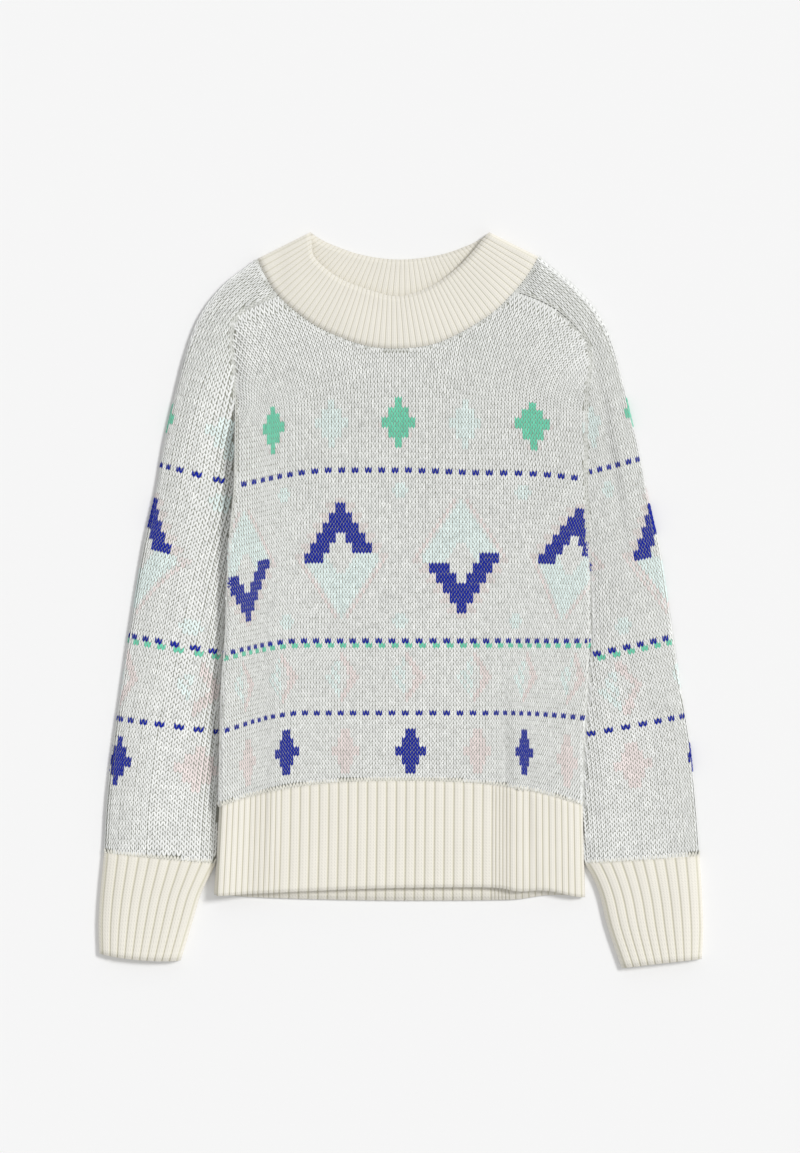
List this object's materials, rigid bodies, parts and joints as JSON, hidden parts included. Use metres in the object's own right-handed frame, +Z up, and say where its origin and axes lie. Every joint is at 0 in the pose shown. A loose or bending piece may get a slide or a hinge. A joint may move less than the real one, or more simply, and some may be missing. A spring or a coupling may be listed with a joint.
{
  "type": "fair isle jumper",
  "caption": "Knitted jumper laid flat, with saddle-shoulder sleeves, a ribbed funnel collar, ribbed cuffs and a deep ribbed hem, in a colourwork pattern of diamonds, chevrons and dots.",
  "frame": {"origin": "centre of the garment's bounding box, on the surface that it lies on", "axes": "+Z up out of the front of the garment, +Y from the hem to the collar, +X to the viewer's right as the front is seen from above"},
  "size_m": [0.5744, 0.6992, 0.0106],
  "materials": {
    "colourwork_knit": "off-white jacquard stockinette with blue, green, mint and pink motifs, matt and slightly hairy",
    "cream_rib": "cream ribbed knit, matt"
  },
  "bodies": {
    "root": {"front_panel": "colourwork_knit", "back_panel": "colourwork_knit", "left_saddle_sleeve": "colourwork_knit", "right_saddle_sleeve": "colourwork_knit", "front_hem_rib": "cream_rib", "back_hem_rib": "cream_rib", "left_cuff": "cream_rib", "right_cuff": "cream_rib", "neck_rib": "cream_rib"}
  },
  "joints": []
}
